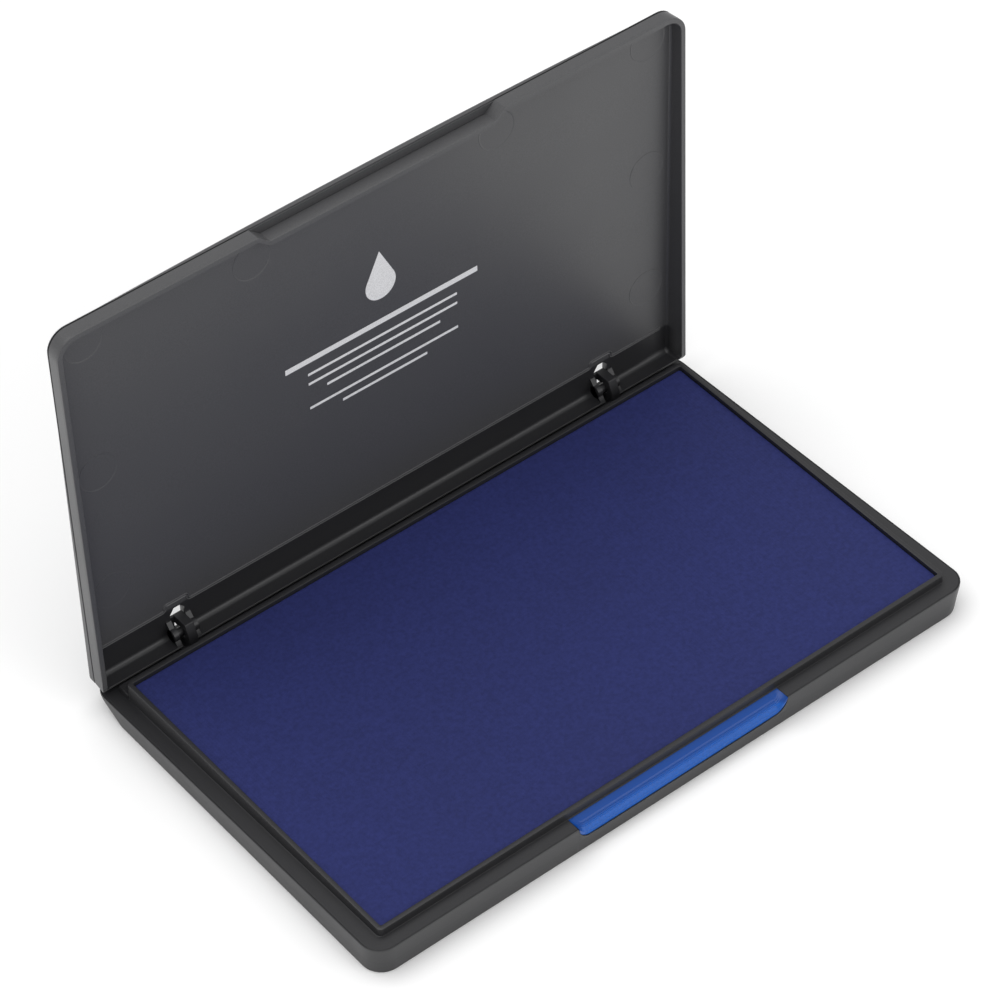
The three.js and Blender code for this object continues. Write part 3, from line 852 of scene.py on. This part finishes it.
def fillet_height(y):
    """Height of the fillet under the panel: low along the sides, and higher towards the back."""
    return 0.6 + 0.8 * np.clip((y - HINGE_Y + 1.9) / 2.5, 0, 1)


def lid_inside():
    """Loops from the free edge inwards and up to the panel, with a wide fillet at the back."""
    def plan(inset, rear):
        return lid_plan(inset, 1, rear)

    levels = [at_height(plan(LID_WALL - 0.1, BACK_WALL - 0.08), inner_edge),
              at_height(plan(LID_WALL, BACK_WALL), lambda x, y: inner_edge(x, y) + 0.1)]
    for a in np.linspace(0, pi / 2, 8):
        inwards, down = 1 - cos(a), 1 - sin(a)
        levels.append(at_height(
            plan(LID_WALL + 0.25 + 0.6 * inwards, BACK_WALL + 1.4 * inwards),
            lambda x, y, down=down: panel(y) - fillet_height(y) * down))
    return levels


outer_levels, under_levels = lid_outside(), lid_inside()
top_skin = shell(outer_levels, lid_columns, lid_rows, LID_STEPS, top=crown)
under_skin = facing_in(shell(under_levels, lid_columns, lid_rows, LID_STEPS,
                             top=lambda x, y: panel(y)))
both_skins = joined(top_skin, under_skin)
rim = np.arange(len(outer_levels[0]))
under_rim = rim + len(top_skin[0])
rim_faces = np.stack([np.roll(rim, -1), rim, under_rim, np.roll(under_rim, -1)], 1).tolist()
shut_lid = (both_skins[0], both_skins[1] + rim_faces)


def scratch_solid(name, part):
    """An object in millimetres for the slots' cut, which is removed afterwards."""
    mesh = welded_mesh(name, *part, WELD, True)
    solid = bpy.data.objects.new(name, mesh)
    scene.collection.objects.link(solid)
    return solid


def slot_cutter(x):
    """A slot open to the back with chamfered front corners, as a prism taller than the lid."""
    left, right, chamfer, past_back = x - SLOT_HALF, x + SLOT_HALF, 1.2, LID_BACK + 15
    plan = np.array([(left, past_back), (left, SLOT_FRONT + chamfer + 0.6), (left + chamfer, SLOT_FRONT),
                     (right - chamfer, SLOT_FRONT), (right, SLOT_FRONT + chamfer), (right, past_back)])
    return capped([np.column_stack([plan, np.full(len(plan), z)]) for z in (-5.0, 30.0)])


blank = scratch_solid("lid_blank", shut_lid)
cutter = scratch_solid("slot_cutter", joined(*[slot_cutter(x) for x in HINGE_X]))
cut = blank.modifiers.new("slots", "BOOLEAN")
cut.operation = "DIFFERENCE"
cut.solver = "EXACT"
cut.object = cutter
slotted = bpy.data.meshes.new_from_object(blank.evaluated_get(bpy.context.evaluated_depsgraph_get()))
lid_points = np.empty(len(slotted.vertices) * 3)
slotted.vertices.foreach_get("co", lid_points)
lid_faces = [list(p.vertices) for p in slotted.polygons]
lid_part = (lid_points.reshape(-1, 3), lid_faces)
for gone in (blank, cutter):
    bpy.data.objects.remove(gone)


def hinge_rod(radius, x0, x1):
    """A round rod on the hinge axis."""
    a = np.linspace(0, 2 * pi, 28, endpoint=False)
    ring = np.column_stack([HINGE_Y + radius * np.cos(a), HINGE_Z + radius * np.sin(a)])
    return carried_along_x(ring, x0, x1)


def web(x0, x1):
    """A thin web that fills the corner between the panel and the back wall, beside a slot."""
    start, back = HINGE_Y - 2.9, LID_BACK - BACK_WALL
    return carried_along_x(np.array([
        (start, panel(start) + 0.4), (start, panel(start) - 0.3), (back, HINGE_Z - BACK_REACH + 0.05),
        (back + 0.5, HINGE_Z - 1.2), (back + 0.6, panel(back) + 0.4)]), x0, x1)


def disc(x, y):
    """A faint round ejector mark on the panel: a very low ring with a sloped edge."""
    a = np.linspace(0, 2 * pi, 64, endpoint=False)
    rings = []
    for radius, height in ((5.1, 0.12), (5.0, -0.05), (4.75, -0.01), (4.6, 0.01)):
        px, py = x + radius * np.cos(a), y + radius * np.sin(a)
        rings.append(np.column_stack([px, py, panel(py) + height]))
    return capped(rings)


def bead():
    """A double bead across the panel that steps round the slots. Its path has straight runs, and
    a quadratic curve at each corner; its section is carried along the path."""
    end, back, jog, half_jog = 81.6, 45.6, 43.9, 3.1
    corners = [(-end, back)]
    for x in HINGE_X:
        corners += [(x - half_jog, back), (x - half_jog, jog), (x + half_jog, jog), (x + half_jog, back)]
    corners = np.array(corners + [(end, back)])
    before, after = np.diff(corners, axis=0)[:-1], np.diff(corners, axis=0)[1:]
    before /= np.linalg.norm(before, axis=1)[:, None]
    after /= np.linalg.norm(after, axis=1)[:, None]
    t = np.linspace(0, 1, 7)[None, :, None]
    knot = corners[1:-1, None]
    radius = 0.8
    turn = ((1 - t) ** 2 * (knot - radius * before[:, None]) + 2 * t * (1 - t) * knot
            + t ** 2 * (knot + radius * after[:, None]))
    path = np.vstack([corners[:1], turn.reshape(-1, 2), corners[-1:]])
    way = np.gradient(path, axis=0)
    way /= np.linalg.norm(way, axis=1)[:, None]
    sideways = np.column_stack([-way[:, 1], way[:, 0]])
    profile = [(-0.55, 0.25), (-0.5, 0.0), (-0.4, -0.16), (-0.24, -0.18), (-0.08, -0.02), (0.08, -0.02),
               (0.24, -0.18), (0.4, -0.16), (0.5, 0.0), (0.55, 0.25)]
    lines = [np.column_stack([path + off * sideways, panel((path + off * sideways)[:, 1]) + h])
             for off, h in profile]
    return capped(np.stack(lines, 1))


lid_extras = [bead()]
for x in HINGE_X:
    for x0, x1 in ((x - SLOT_HALF - WEB, x - SLOT_HALF), (x + SLOT_HALF, x + SLOT_HALF + WEB)):
        lid_extras += [web(x0, x1), hinge_rod(BOSS_RADIUS, x0, x1 - 0.02)]
    lid_extras.append(hinge_rod(PIN_RADIUS, x - SLOT_HALF - 0.6, x + SLOT_HALF + 0.6))
lid_extras += [disc(side * x, y) for side in (-1, 1)
               for x, y in ((77, -43.4), (FINGER_HALF, -41.2), (77, -6), (77, 30))]


def swung_open(part):
    """Shut-lid points turned a quarter turn about the hinge axis."""
    points, faces = part
    y, z = points[:, 1] - HINGE_Y, points[:, 2] - HINGE_Z
    return np.column_stack([points[:, 0], HINGE_Y + z, HINGE_Z - y]), faces


moulding("lid_body", swung_open(lid_part), lid_black, "lid", "lid_shell", sharp=32)
moulding("lid_pins_and_marks", swung_open(joined(*lid_extras)), lid_black, "lid", "lid_shell",
         turn_outwards=True, sharp=50)


# ---- Printed marks ------------------------------------------------------------------------
# Pale print inside the lid: a plain drop above a few rules, as thin raised patches of paint.

print_white = moulded_plastic("print_white", (0.72, 0.72, 0.73), 0.5)
PRINT_ROOT, PRINT_LIFT = 0.05, 0.03


def patch(outline):
    """A thin slab of paint over the panel inside the lid, from an outline in plan."""
    level = panel(outline[:, 1])
    return capped([np.column_stack([outline, level + h]) for h in (PRINT_ROOT, -PRINT_LIFT)])


def drop_outline(x, y, radius, tip):
    """A drop: a round belly, and two straight sides that meet at the tip, towards the lid's edge."""
    lean = asin(radius / tip)
    a = np.linspace(-lean, pi + lean, 33)
    belly = np.column_stack([x + radius * np.cos(a), y + radius * np.sin(a)])
    return np.vstack([belly, [(x, y - tip)]])


def rule_outline(half, y, thick):
    """A rectangle in plan, as long on both sides of the middle."""
    return np.array([(-half, y), (half, y), (half, y + thick), (-half, y + thick)], float)


rules = ((27, -5.5, 1.5), (21, -1.0, 0.7), (21, 1.8, 0.7), (16, 4.6, 0.7), (21, 9.0, 0.7),
         (12, 11.8, 0.7))
marks = [patch(drop_outline(0, -15.5, radius=4.2, tip=9.5)), *[patch(rule_outline(*r)) for r in rules]]
moulding("printed_marks", swung_open(joined(*marks)), print_white, "lid", "lid_shell",
         turn_outwards=True, sharp=50)
